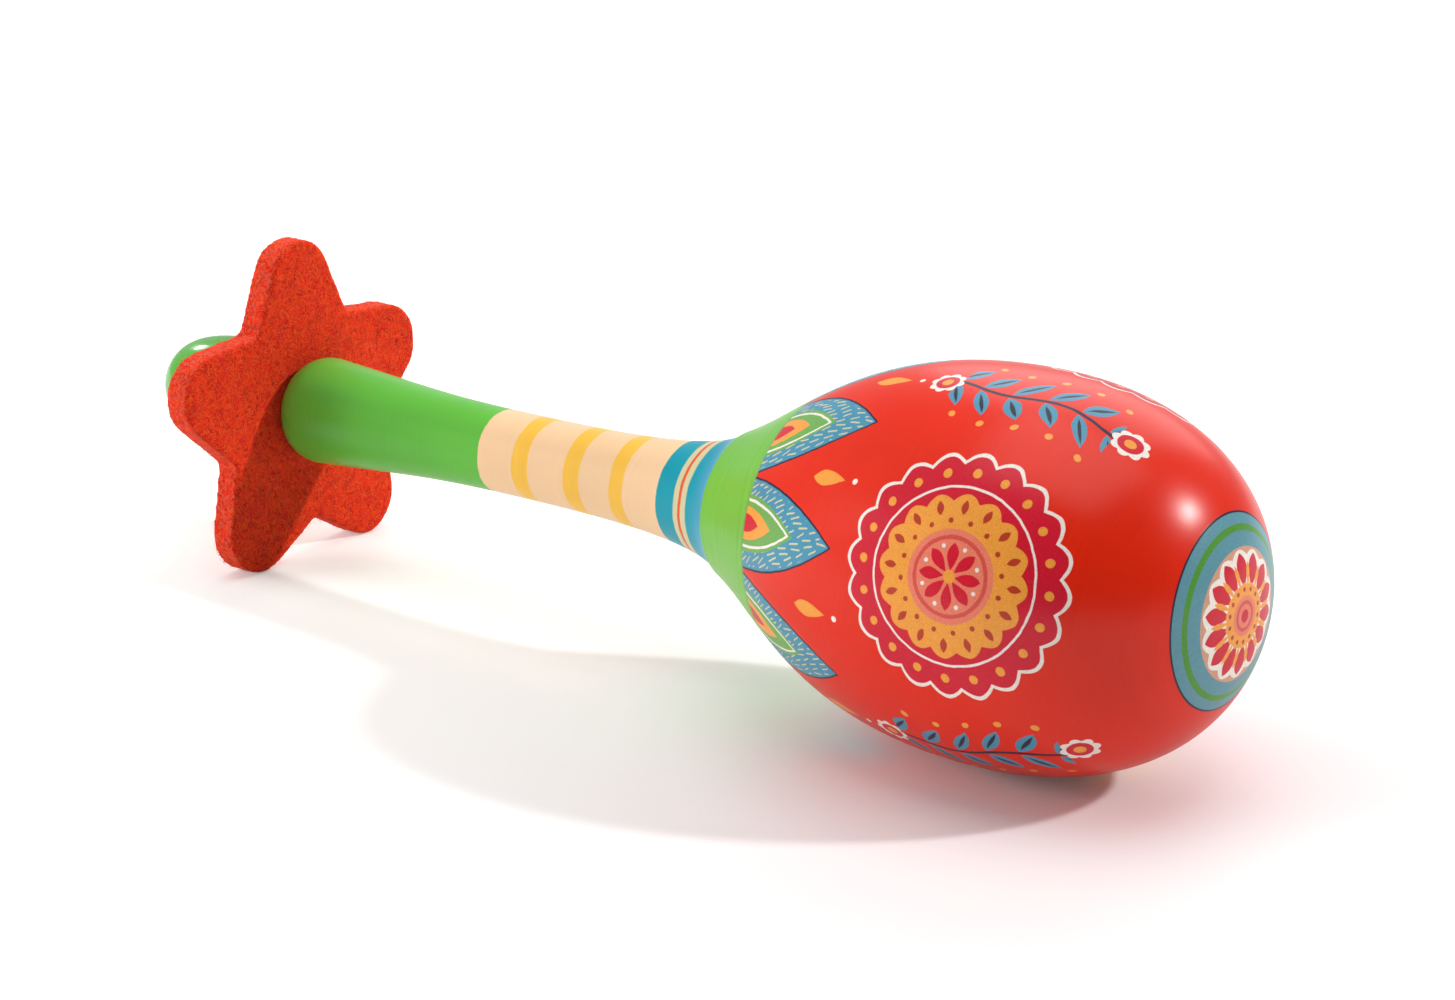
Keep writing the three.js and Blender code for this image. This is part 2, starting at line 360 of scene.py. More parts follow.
# %% Punch the flower
PETALS = 5
PETAL_REACH = 29.1 * MM
PETAL_TIP_RADIUS = 7 * MM
NOTCH_REACH = 18.6 * MM
NOTCH_RADIUS = 1.6 * MM
FLOWER_DROP = 0.8 * MM
PUNCH_SIDES = 48
PUNCH_LENGTH = 4 * FELT_THICKNESS
FELT_GRID = 0.5 * MM
FELT_SOFTENING = 2
PETAL_STEP = 2 * math.pi / PETALS
TIP_CENTRE = PETAL_REACH - PETAL_TIP_RADIUS
NOTCH_CENTRE = NOTCH_REACH + NOTCH_RADIUS


def across(radius, turn):
    """A point on a slice across the axis. A turn of nothing points down, and a quarter turn to +Y."""
    return Vector((0, radius * math.sin(turn), -radius * math.cos(turn)))


def arc(centre, radius, first, last, steps):
    return [centre + across(radius, first + (last - first) * i / steps) for i in range(steps + 1)]


def petal_outline(way):
    """A petal's tip and the notch after it. The straight flank touches both arcs."""
    between = across(NOTCH_CENTRE, PETAL_STEP / 2) - across(TIP_CENTRE, 0)
    swing = math.acos((PETAL_TIP_RADIUS + NOTCH_RADIUS) / between.length)
    flank = math.atan2(between.y, -between.z) - swing
    tip = arc(across(TIP_CENTRE, way), PETAL_TIP_RADIUS, way - flank, way + flank, ROUND_STEPS)
    notch = across(NOTCH_CENTRE, way + PETAL_STEP / 2)
    return tip + arc(notch, NOTCH_RADIUS, way + flank + math.pi, way + PETAL_STEP - flank + math.pi,
                     ROUND_STEPS // 2)


def punch_flower():
    outline = [point for i in range(PETALS) for point in petal_outline(PETAL_STEP * (i + 0.5))]
    outline.append(outline[0])
    piece = start_piece("felt_flower_punched", bpy.ops.mesh.primitive_plane_add, size=MM)
    bpy.ops.mesh.merge(type="CENTER")
    bpy.ops.transform.translate(value=outline[0] - Vector((GLUE_LINE, 0, FLOWER_DROP)))
    for here, there in zip(outline, outline[1:]):
        bpy.ops.mesh.extrude_vertices_move(TRANSFORM_OT_translate={"value": there - here})
    bpy.ops.mesh.select_all(action="SELECT")
    bpy.ops.mesh.remove_doubles(threshold=WELD)
    bpy.ops.mesh.edge_face_add()
    bpy.ops.mesh.extrude_region_move(TRANSFORM_OT_translate={"value": (-FELT_THICKNESS, 0, 0)})
    bpy.ops.mesh.select_all(action="SELECT")
    bpy.ops.mesh.normals_make_consistent(inside=False)
    bpy.ops.object.mode_set(mode="OBJECT")
    return piece


def punch_hole(piece):
    punch = start_piece("punch", bpy.ops.mesh.primitive_cylinder_add, vertices=PUNCH_SIDES,
                        radius=PEG_RADIUS + SLIP_FIT + FLOWER_DROP, depth=PUNCH_LENGTH,
                        location=(0, 0, -FLOWER_DROP), rotation=(0, math.pi / 2, 0))
    bpy.ops.object.mode_set(mode="OBJECT")
    apply_modifier(piece, "BOOLEAN", operation="DIFFERENCE", object=punch)
    bpy.data.objects.remove(punch)


felt = punch_flower()
punch_hole(felt)
apply_modifier(felt, "REMESH", mode="VOXEL", voxel_size=FELT_GRID, adaptivity=0)
apply_modifier(felt, "SMOOTH", factor=0.5, iterations=FELT_SOFTENING)
print("The felt has", len(felt.data.polygons), "little squares")

# %% [markdown]
# ### Bend and roughen the felt
#
# A modifier can't know where the knob grips, so this is done by moving the vertices in code. A vertex under
# the knob stays. Further out it moves along the axis, more and more, by how far its side of the sheet leans.
# Two sizes of noise make the faces as uneven as pressed wool, and where a petal stands on the table it is
# pressed flat.

# %% Bend the petals
GRIPPED_RADIUS = 9.5 * MM
FREE_RADIUS = 20 * MM
NEAR_LEAN = math.tan(math.radians(2.6))
FAR_LEAN = math.tan(math.radians(5.4))
TOP_LEAN = math.tan(math.radians(1))
LUMP_SIZE = 4 * MM
LUMP_DEPTH = 0.12 * MM
NAP_SIZE = 0.9 * MM
NAP_DEPTH = 0.03 * MM
GRIPPED_NAP_SHARE = 0.3
CUT_STARTS = 0.25
CUT_IS_FULL = 0.7


def ease(value, low, high):
    """Nothing below low, one above high, and a soft step between."""
    share = min(max((value - low) / (high - low), 0), 1)
    return share * share * (3 - 2 * share)


def mark_cut(piece):
    """Marks the punched wall, whose faces look away from the axis, for the material."""
    share = [ease(1 - abs(vertex.normal.x), CUT_STARTS, CUT_IS_FULL) for vertex in piece.data.vertices]
    piece.data.attributes.new("cut", "FLOAT", "POINT").data.foreach_set("value", share)


def bend_petals(piece):
    for vertex in piece.data.vertices:
        place = vertex.co.copy()
        free = ease(math.hypot(place.y, place.z), GRIPPED_RADIUS, FREE_RADIUS)
        lump = LUMP_DEPTH * noise.noise(place / LUMP_SIZE) * free
        nap = NAP_DEPTH * noise.noise(place / NAP_SIZE)
        nap *= GRIPPED_NAP_SHARE + (1 - GRIPPED_NAP_SHARE) * free
        vertex.co += vertex.normal * (lump + nap)
        side_lean = FAR_LEAN if place.y > 0 else NEAR_LEAN
        vertex.co.x -= free * (side_lean * place.y + TOP_LEAN * place.z)


mark_cut(felt)
bend_petals(felt)
felt.data.update()
bpy.ops.object.select_all(action="DESELECT")
felt.select_set(True)
bpy.ops.object.shade_smooth()
lay_down(felt)
for vertex in felt.data.vertices:
    vertex.co.z = max(vertex.co.z, 0)
dress(felt, "felt_flower")

# %% [markdown]
# ### Loose fibres
#
# Pressed wool is never quite smooth: short curled hairs lie on it and stand off its edges. Each hair here
# is a thin tube of three sides that starts on a random square of the felt, leaves it at a low angle and
# curls. None may reach into the table. Every hair keeps a shade of its own in an attribute, which its
# material turns into a colour.

# %% Grow the fibres
FIBRES = 3200
FIBRE_RADIUS = 0.034 * MM
FIBRE_JOINTS = 4
FIBRE_SHORTEST = 0.8 * MM
FIBRE_LONGEST = 1.9 * MM
FIBRE_RISE = (0.05, 0.38)
FIBRE_CURL = 0.9
FIBRE_SETTLING = 0.3
FIBRE_TAPER = 0.15
FIBRE_SIDES = 3


def fibre_path(start, normal, chance):
    """Points along one hair that leaves the felt low and curls back."""
    sideways = normal.orthogonal().normalized()
    sideways.rotate(Matrix.Rotation(chance.uniform(0, 2 * math.pi), 3, normal))
    rise = chance.uniform(*FIBRE_RISE)
    way = (sideways + normal * rise).normalized()
    curl = Matrix.Rotation(chance.uniform(-FIBRE_CURL, FIBRE_CURL), 3, normal)
    step = chance.uniform(FIBRE_SHORTEST, FIBRE_LONGEST) / FIBRE_JOINTS
    points = [start]
    for _ in range(FIBRE_JOINTS):
        points.append(points[-1] + way * step)
        way.rotate(curl)
        way = (way - normal * rise * FIBRE_SETTLING).normalized()
    return points


def fibre_mesh(piece, count, seed):
    """Tubes of three sides round many paths, in one mesh with a shade for each hair."""
    chance = random.Random(seed)
    squares = piece.data.polygons
    corners, faces, shades = [], [], []
    for _ in range(count):
        square = squares[chance.randrange(len(squares))]
        normal = square.normal
        path = fibre_path(square.center - normal * FIBRE_RADIUS, normal, chance)
        shade = chance.random()
        if min(point.z for point in path) < FIBRE_RADIUS:
            continue
        first = len(corners)
        for joint, point in enumerate(path):
            way = (path[min(joint + 1, FIBRE_JOINTS)] - path[max(joint - 1, 0)]).normalized()
            side = way.orthogonal().normalized() * FIBRE_RADIUS * (1 - FIBRE_TAPER * joint)
            for turn in range(FIBRE_SIDES):
                corners.append(point + Matrix.Rotation(2 * math.pi * turn / FIBRE_SIDES, 3, way) @ side)
                shades.append(shade)
        for joint in range(FIBRE_JOINTS):
            ring = first + joint * FIBRE_SIDES
            for turn in range(FIBRE_SIDES):
                after = (turn + 1) % FIBRE_SIDES
                faces.append((ring + turn, ring + after,
                              ring + FIBRE_SIDES + after, ring + FIBRE_SIDES + turn))
        faces.append((first + 2, first + 1, first))
        faces.append(tuple(first + FIBRE_JOINTS * FIBRE_SIDES + turn for turn in range(FIBRE_SIDES)))
    mesh = bpy.data.meshes.new("felt_fibres")
    mesh.from_pydata(corners, [], faces)
    mesh.attributes.new("shade", "FLOAT", "POINT").data.foreach_set("value", shades)
    mesh.update()
    return mesh


fibres = bpy.data.objects.new("felt_fibres", fibre_mesh(felt, FIBRES, seed=5))
bpy.context.scene.collection.objects.link(fibres)
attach(fibres, "maraca")
print("The fibres have", len(fibres.data.polygons), "faces")

# %% [markdown]
# ## The beads
#
# Nineteen hardwood beads lie on the chamber's floor. A lathe leaves a small flat at each pole of a turned
# bead, so two cuts take a thin cap off a fine ball. One bead is modelled and copied, each copy with its own
# mesh and its own tumble, and each rides on its own body, because the beads fly one by one.

# %% Turn the beads
BEAD_RADIUS = 3 * MM
BEAD_FLAT = 2.94 * MM


def turned_bead():
    bead = start_piece("bead_pattern", bpy.ops.mesh.primitive_ico_sphere_add,
                       subdivisions=4, radius=BEAD_RADIUS)
    for side in (1, -1):
        bpy.ops.mesh.select_all(action="SELECT")
        bpy.ops.mesh.bisect(plane_co=(0, 0, side * BEAD_FLAT), plane_no=(0, 0, side),
                            use_fill=True, clear_outer=True)
    bpy.ops.object.mode_set(mode="OBJECT")
    bpy.ops.object.shade_smooth_by_angle(angle=math.radians(20))
    return bead


bead_pattern = turned_bead()
tumble = random.Random(3)
beads = []
for node in sorted(n for n in frame["nodes"] if n.startswith("bead_")):
    low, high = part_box(node)
    mesh = bead_pattern.data.copy()
    spin = Matrix.Rotation(tumble.uniform(0, math.pi), 4, Vector((tumble.random(), tumble.random(), 1)))
    mesh.transform(Matrix.Translation((low + high) / 2) @ spin)
    bead = bpy.data.objects.new(node + "_turned", mesh)
    mesh.name = bead.name
    bpy.context.scene.collection.objects.link(bead)
    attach(bead, node)
    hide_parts(node)
    beads.append(bead)
bpy.data.objects.remove(bead_pattern)
print("Each bead has", len(mesh.polygons), "faces")

# %% [markdown]
# ## Writing patterns as formulas
#
# The ornament and the wear are worked out by shader nodes. Wiring hundreds of them by hand would hide what
# they do, so a wire here is a value that can be added, multiplied and compared in plain arithmetic, and
# each sign adds its Math node. Lengths in the patterns are in millimetres.


# %% Wires and nodes
def plug(socket, value):
    """Links a wire to a socket, or sets the socket to a plain value."""
    if isinstance(value, Wire):
        value.tree.links.new(value.socket, socket)
    else:
        socket.default_value = value


class Wire:
    """A value in a node tree, which arithmetic turns into Math nodes."""

    def __init__(self, tree, socket):
        self.tree = tree
        self.socket = socket

    def math(self, operation, *others):
        made = self.tree.nodes.new("ShaderNodeMath")
        made.operation = operation
        for socket, value in zip(made.inputs, (self, *others)):
            plug(socket, value)
        return Wire(self.tree, made.outputs[0])

    def __add__(self, other):
        return self.math("ADD", other)

    def __sub__(self, other):
        return self.math("SUBTRACT", other)

    def __rsub__(self, other):
        return (self * -1) + other

    def __mul__(self, other):
        return self.math("MULTIPLY", other)

    def __truediv__(self, other):
        return self.math("DIVIDE", other)

    def __abs__(self):
        return self.math("ABSOLUTE")

    __radd__ = __add__
    __rmul__ = __mul__


def add_node(tree, kind, inputs=None, **settings):
    made = tree.nodes.new("ShaderNode" + kind)
    for name, value in settings.items():
        setattr(made, name, value)
    for name, value in (inputs or {}).items():
        plug(made.inputs[name], value)
    return made


def wire(tree, kind, inputs=None, output=0, **settings):
    """A wire from one output of a new node."""
    return Wire(tree, add_node(tree, kind, inputs, **settings).outputs[output])


def length(*sides):
    """The distance across two sides of a right angle."""
    return (sides[0] * sides[0] + sides[1] * sides[1]).math("SQRT")


def inside(distance, softness=0.06):
    """A mask: one where the distance is below nothing, with an edge as soft as printed ink."""
    return wire(distance.tree, "MapRange", {"Value": distance, "From Min": softness, "From Max": -softness},
                interpolation_type="SMOOTHSTEP")


def line(distance, half_width, softness=0.06):
    return inside(abs(distance) - half_width, softness)


def paint(under, over, mask):
    """Lays one colour over another where the mask is one."""
    made = add_node(mask.tree, "Mix", data_type="RGBA")
    for index, value in ((0, mask), (6, under), (7, over)):
        plug(made.inputs[index], value)
    return Wire(mask.tree, made.outputs[2])


def colour(red, green, blue):
    """A colour as a screen shows it, from 0 to 255, in the linear values that nodes take."""
    shares = [value / 255 for value in (red, green, blue)]
    linear = [s / 12.92 if s <= 0.04045 else ((s + 0.055) / 1.055) ** 2.4 for s in shares]
    return (*linear, 1)


# %% [markdown]
# ## Shared effects
#
# An effect that more than one finish uses is a node group: built once, with named inputs and outputs, and
# placed in each material with its own values. The first one finds where a point lies on the maraca: how
# far along the axis, how far out, and at which turn round it.

# %% Build node groups


def new_group(name, inputs, outputs):
    """An empty group, its input wires by name, and its output node."""
    tree = bpy.data.node_groups.new(name, "ShaderNodeTree")
    for label, kind in inputs.items():
        tree.interface.new_socket(label, in_out="INPUT", socket_type="NodeSocket" + kind)
    for label, kind in outputs.items():
        tree.interface.new_socket(label, in_out="OUTPUT", socket_type="NodeSocket" + kind)
    entry = tree.nodes.new("NodeGroupInput")
    wires = {label: Wire(tree, entry.outputs[label]) for label in inputs}
    return tree, wires, tree.nodes.new("NodeGroupOutput")


def use_group(tree, shared, values=None):
    """Places a group in a tree and returns its output wires by name."""
    placed = tree.nodes.new("ShaderNodeGroup")
    placed.node_tree = shared
    for label, value in (values or {}).items():
        plug(placed.inputs[label], value)
    return {output.name: Wire(tree, output) for output in placed.outputs}


def build_axis_group():
    tree, _, leave = new_group("Place on the maraca", {},
                               {"Place": "Vector", "Along": "Float", "Out": "Float", "Turn": "Float"})
    mapping = add_node(tree, "Mapping", {"Vector": wire(tree, "TexCoord", output="Object")},
                       vector_type="TEXTURE")
    mapping.inputs["Location"].default_value = FELT_FRONT
    mapping.inputs["Rotation"].default_value = (0, -LEAN, 0)
    mapping.inputs["Scale"].default_value = (MM, MM, MM)
    place = Wire(tree, mapping.outputs[0])
    parts = add_node(tree, "SeparateXYZ", {"Vector": place})
    along, aside, up = (Wire(tree, socket) for socket in parts.outputs)
    results = {"Place": place, "Along": along, "Out": length(aside, up), "Turn": aside.math("ARCTAN2", up)}
    for label, value in results.items():
        plug(leave.inputs[label], value)
    return tree


ON_MARACA = build_axis_group()
print("Built the group", ON_MARACA.name)

# %% [markdown]
# The next groups are the marks of making. A brush or a print is never dead true, so a slow wobble shifts
# its edges. A lathe and a turning brush leave fine rings, which fade in and out round the piece. Dust and
# small pits are rare round specks. Short hatch strokes fill the blue ornament, each at its own small tilt.


# %% Groups for making marks
def soft_noise(place, scale, detail):
    """Noise around one half, with spots about as wide as one over the scale."""
    return wire(place.tree, "TexNoise", {"Vector": place, "Scale": scale, "Detail": detail})


def build_wobble_group():
    """Two slow offsets, for the edges of anything painted or printed."""
    tree, given, leave = new_group("Hand wobble", {"Place": "Vector", "Size": "Float", "Amount": "Float"},
                                   {"First": "Float", "Second": "Float"})
    cloud = wire(tree, "TexNoise", {"Vector": given["Place"], "Scale": given["Size"].math("POWER", -1),
                                    "Detail": 1.0}, output="Color")
    parts = add_node(tree, "SeparateColor", {"Color": cloud})
    for label, socket in (("First", parts.outputs[0]), ("Second", parts.outputs[1])):
        plug(leave.inputs[label], (Wire(tree, socket) - 0.5) * given["Amount"])
    return tree


def build_ring_group():
    """Rings round the axis that come and go, as a lathe tool or a brush leaves them, around one half."""
    tree, given, leave = new_group("Turning marks", {"Place": "Vector", "Along": "Float", "Spacing": "Float"},
                                   {"Height": "Float"})
    drift = soft_noise(given["Place"], 0.07, 1.0)
    rings = wire(tree, "TexNoise", {"W": given["Along"] / given["Spacing"] + drift * 6.0, "Scale": 1.0,
                                    "Detail": 2.0}, noise_dimensions="1D")
    fade = soft_noise(given["Place"], 0.16, 1.0)
    strength = wire(tree, "MapRange", {"Value": fade, "From Min": 0.38, "From Max": 0.68})
    plug(leave.inputs["Height"], (rings - 0.5) * strength + 0.5)
    return tree


def build_speck_group():
    """Rare round specks, such as dust under lacquer."""
    tree, given, leave = new_group("Specks", {"Place": "Vector", "Spacing": "Float", "Radius": "Float",
                                              "Share": "Float"}, {"Mask": "Float"})
    cells = add_node(tree, "TexVoronoi", {"Vector": given["Place"],
                                          "Scale": given["Spacing"].math("POWER", -1)})
    distance = Wire(tree, cells.outputs["Distance"]) * given["Spacing"]
    chance = wire(tree, "SeparateColor", {"Color": Wire(tree, cells.outputs["Color"])})
    chosen = chance.math("LESS_THAN", given["Share"])
    plug(leave.inputs["Mask"], inside(distance - given["Radius"], 0.04) * chosen)
    return tree


def build_stroke_group():
    """Rows of short strokes that lie along U, each a little askew."""
    tree, given, leave = new_group("Hatch strokes", {"U": "Float", "V": "Float", "Pitch": "Float",
                                                     "Row": "Float", "Width": "Float"}, {"Mask": "Float"})
    row = (given["V"] / given["Row"]).math("FLOOR")
    shift = wire(tree, "TexWhiteNoise", {"W": row}, noise_dimensions="1D")
    step = given["U"] / given["Pitch"] + shift
    pair = wire(tree, "CombineXYZ", {"X": step.math("FLOOR"), "Y": row})
    chance = wire(tree, "TexWhiteNoise", {"Vector": pair}, noise_dimensions="2D")
    along = (step.math("FRACT") - 0.5) * given["Pitch"]
    aside = ((given["V"] / given["Row"]).math("FRACT") - 0.5) * given["Row"]
    aside = aside + along * (chance - 0.5) * 0.7
    beyond = (abs(along) - given["Pitch"] * (0.2 + chance * 0.14)).math("MAXIMUM", 0)
    plug(leave.inputs["Mask"], inside(length(beyond, aside) - given["Width"] * 0.5, 0.05))
    return tree


HAND_WOBBLE = build_wobble_group()
TURNING_MARKS = build_ring_group()
SPECKS = build_speck_group()
HATCH_STROKES = build_stroke_group()
print("Built", len(bpy.data.node_groups), "groups")


def hand_wobble(place, size, amount):
    return use_group(place.tree, HAND_WOBBLE, {"Place": place, "Size": size, "Amount": amount})


def turning_rings(place, along, spacing):
    placed = use_group(place.tree, TURNING_MARKS, {"Place": place, "Along": along, "Spacing": spacing})
    return placed["Height"]

# %% [markdown]
# ## Lacquer on wood
#
# All the wood that shows is lacquered, and lacquer is never as smooth as glass. It keeps the lathe's rings
# faintly, it dries with a skin like orange peel, and a few grains of dust stay in it. Those three make the
# height of a Bump node, in millimetres, with any paint edge on top. How strongly a finish mirrors is the same
# all over, so it is set on the shader's own socket, and only the roughness wanders a little.


# %% Lay lacquer on a material
def new_finish(name, uniform):
    """A material, its tree and its shader, with the values that are the same all over set on the shader."""
    material = bpy.data.materials.new(name)
    material.use_nodes = True
    shader = material.node_tree.nodes["Principled BSDF"]
    for label, value in uniform.items():
        shader.inputs[label].default_value = value
    return material, material.node_tree, shader


def spread(value, low, high):
    """Stretches noise, which keeps near the middle, over a range."""
    return wire(value.tree, "MapRange", {"Value": value, "From Min": 0.3, "From Max": 0.7,
                                         "To Min": low, "To Max": high})


def shaded(tint, factor):
    return wire(factor.tree, "VectorMath", {0: tint, "Scale": factor}, operation="SCALE")


def finish_lacquer(shader, place, along, tint, relief, roughness, peel_depth):
    """Feeds the shader a tint with soft mottling, and the height of everything in the lacquer."""
    tree = place.tree
    rings = turning_rings(place, along, 0.4)
    dust = use_group(tree, SPECKS, {"Place": place, "Spacing": 3.1, "Radius": 0.09, "Share": 0.2})["Mask"]
    peel = soft_noise(place, 0.8, 1.0)
    mottle = soft_noise(place, 0.07, 3.0)
    grain = soft_noise(place, 3.2, 1.0)
    height = relief + peel * peel_depth + grain * 0.002 + rings * 0.003 + dust * 0.015
    bump = add_node(tree, "Bump", {"Height": height, "Strength": 1.0, "Distance": MM})
    plug(shader.inputs["Base Color"], shaded(tint, spread(mottle, 0.965, 1.03) + dust * 0.06))
    plug(shader.inputs["Roughness"], spread(mottle, *roughness))
    plug(shader.inputs["Normal"], Wire(tree, bump.outputs[0]))


# %% [markdown]
# ## The painted handle
#
# The handle turns on a lathe while a brush is held against it, so its bands are true rings with edges that
# wander by a fraction of a millimetre. The bands are a short table: where each begins and ends along the
# axis, and its colour. Each is laid over the one before it, and adds the thickness of one coat of paint.

# %% Colours and bands of the handle
GREEN = colour(100, 191, 64)
CREAM = colour(250, 208, 162)
YELLOW = colour(253, 196, 70)
TEAL = colour(0, 156, 176)
SKY = colour(74, 158, 200)
STRAW = colour(216, 206, 158)
SCARLET = colour(238, 84, 34)
COAT_OF_PAINT = 0.014
HANDLE_BANDS = ((44.8, 83.2, CREAM), (52.3, 55.5, YELLOW), (63.2, 66.4, YELLOW), (72.9, 75.8, YELLOW),
                (83.2, 97, TEAL), (87.1, 88.3, STRAW), (88.9, 90.2, STRAW), (88.3, 88.9, SCARLET))
BAND_EDGE = 0.1


def band(along, start, end):
    return inside(abs(along - (start + end) / 2) - (end - start) / 2, BAND_EDGE)


def paint_handle():
    material, tree, shader = new_finish("handle_bands", {"Specular IOR Level": 0.33})
    spot = use_group(tree, ON_MARACA)
    slow = hand_wobble(spot["Place"], 6.0, 0.7)
    quick = hand_wobble(spot["Place"], 0.9, 0.16)
    along = spot["Along"] + slow["First"] + quick["First"]
    brush = turning_rings(spot["Place"], along, 0.8)
    tint, relief = GREEN, brush * 0.0006
    for start, end, pigment in HANDLE_BANDS:
        mask = band(along, start, end)
        tint = paint(tint, pigment, mask)
        relief = relief + mask * COAT_OF_PAINT
    thin = wire(tree, "MapRange", {"Value": along + (brush - 0.5) * 5.0, "From Min": 91.0, "From Max": 95.5})
    tint = paint(tint, SKY, thin * slow["Second"].math("ADD", 0.75))
    tint = shaded(tint, spread(brush, 0.975, 1.015))
    finish_lacquer(shader, spot["Place"], spot["Along"], tint, relief, (0.28, 0.34), 0.004)
    return material


def give(piece, material):
    """The piece wears this material and no other."""
    piece.data.materials.clear()
    piece.data.materials.append(material)


give(handle, paint_handle())
print("The handle has", len(HANDLE_BANDS), "painted bands")

# %% [markdown]
# ## The knob
#
# The knob has one colour and more gloss than the rest, because it was dipped: its lacquer is thicker and
# flows out smoother. So it has a clear coat over its paint, a shallower orange peel and a lower roughness.


# %% Dip the knob
def dip_knob():
    material, tree, shader = new_finish("knob_gloss", {"Specular IOR Level": 0.4, "Coat Weight": 0.6,
                                                       "Coat Roughness": 0.03})
    spot = use_group(tree, ON_MARACA)
    rings = turning_rings(spot["Place"], spot["Along"], 1.6)
    # The tint is made a little lighter at the knob's end and a little darker towards the felt.
    darker_towards_felt = wire(tree, "MapRange", {"Value": spot["Along"], "From Min": KNOB_END / MM,
                                   "From Max": KNOB_FRONT / MM, "To Min": 1.03, "To Max": 0.94})
    tint = shaded(paint(colour(72, 176, 52), colour(98, 190, 64), rings), darker_towards_felt)
    finish_lacquer(shader, spot["Place"], spot["Along"], tint, rings * 0.003, (0.18, 0.25), 0.003)
    return material


give(knob, dip_knob())
print("The knob wears", knob.data.materials[0].name)

# %% [markdown]
# ## Laying out printed ornament
#
# The head carries printed folk ornament over its paint: petals that rise from the neck, three large
# rosettes round the belly with sprigs between them, and a flower on the nose. Each figure is a distance
# formula, and repeats come from folding: an angle that is folded into equal sectors draws one petal as many
# times as there are sectors. A print remembers where ink lies, because ink has a fine grain.


# %% Folding and figures
def sector(turn, count, first=0):
    """The angle from the middle of the nearest of several equal sectors."""
    step = 2 * math.pi / count
    place = (turn - first) / step
    return (place - place.math("ROUND")) * step


def around(radius, turn, count, middle, first=0):
    """Places in each sector: how far out from a ring of that radius, and how far aside."""
    folded = sector(turn, count, first)
    return radius * folded.math("COSINE") - middle, radius * folded.math("SINE")


def dot(out, aside, radius):
    return inside(length(out, aside) - radius)


BEYOND_TIP = 1.2


def petal(out, aside, half_length, half_width, fullness=0):
    """A pointed leaf along the first direction. Fullness moves its widest place outward."""
    share = (out / half_length).math("MINIMUM", BEYOND_TIP).math("MAXIMUM", -BEYOND_TIP)
    limit = (1 - share * share) * (1 + share * fullness)
    return inside(abs(aside) - limit * half_width)


# %% [markdown]
# ### Wheels
#
# The rosettes, the nose flower and the buds are wheels: discs, rings, lobes, dots and petals round one
# middle. So a wheel is a short table from the rim inwards. A row gives the ink, the figure, how many there
# are where it repeats, how far out it lies, and its own sizes in millimetres.


# %% Figures of a wheel
def disc(radius, turn, reach):
    return inside(radius - reach)


def ring(radius, turn, middle, half_width):
    return line(radius - middle, half_width)


def beyond_lobes(radius, turn, count, middle, depth):
    return radius - middle - abs((turn * (count / 2)).math("COSINE")) * depth


def lobes(radius, turn, count, middle, depth):
    return inside(beyond_lobes(radius, turn, count, middle, depth))


def lobed_line(radius, turn, count, middle, depth, half_width):
    return line(beyond_lobes(radius, turn, count, middle, depth), half_width)


def dots(radius, turn, count, middle, size, first=0):
    return dot(*around(radius, turn, count, middle, first), size)


def petals(radius, turn, count, middle, half_length, half_width, fullness=0, first=0):
    return petal(*around(radius, turn, count, middle, first), half_length, half_width, fullness)


class Print:
    """Ink that is laid down colour by colour over paint, and only where the print may go."""

    def __init__(self, tint, inked):
        self.tint = tint
        self.inked = inked
        self.window = None

    def lay(self, ink, mask):
        mask = mask * self.window if self.window else mask
        self.tint = paint(self.tint, ink, mask)
        self.inked = self.inked.math("MAXIMUM", mask)

    def draw_wheel(self, ahead, aside, rows):
        radius, turn = length(ahead, aside), aside.math("ARCTAN2", ahead)
        for ink, figure, *sizes in rows:
            self.lay(ink, figure(radius, turn, *sizes))


# %% [markdown]
# ### Rosettes
#
# A rosette is laid out on the flat sheet that touches the egg at its middle, so it looks round when the eye
# is straight above it. It has scallops, dots, a marigold disc with seeds, and a small flower in a coral eye.

# %% Inks, and the rosette's sheet
RED = colour(231, 40, 15)
ORANGE = colour(246, 162, 66)
CORAL = colour(238, 130, 104)
ROSE = colour(220, 84, 76)
CRIMSON = colour(214, 30, 52)
RUST = colour(190, 62, 40)
CHALK = colour(246, 236, 226)
BLUE = colour(74, 148, 178)
NAVY = colour(40, 38, 62)
LEAF = colour(112, 172, 84)
ROSETTES = 3
FIRST_ROSETTE = math.radians(-75)
ROSETTE_PLACE = 151
ROSETTE = ((CRIMSON, lobes, 20, 15.2, 1.2), (CHALK, lobed_line, 20, 15.2, 1.2, 0.26), (CHALK, ring, 12, 0.16),
           (ORANGE, dots, 20, 13.9, 0.62), (ORANGE, lobes, 16, 10.1, 1), (RUST, petals, 16, 9.3, 1, 0.5),
           (RUST, dots, 16, 7.5, 0.36, math.pi / 16), (CORAL, disc, 6.4), (ROSE, ring, 5.3, 0.28),
           (CRIMSON, petals, 8, 2.7, 1.9, 0.8, 0.4), (CHALK, dots, 8, 4.2, 0.3, math.pi / 8),
           (ORANGE, disc, 0.9))


def nose_radius(along):
    """The head's radius in front of its seam, in millimetres."""
    share = ((along * MM - SEAM_PLACE) / (NOSE_TIP - SEAM_PLACE)) ** (NOSE_ROUNDNESS / 2)
    return HEAD_RADIUS / MM * math.sqrt(1 - share * share) ** (2 / NOSE_ROUNDNESS)


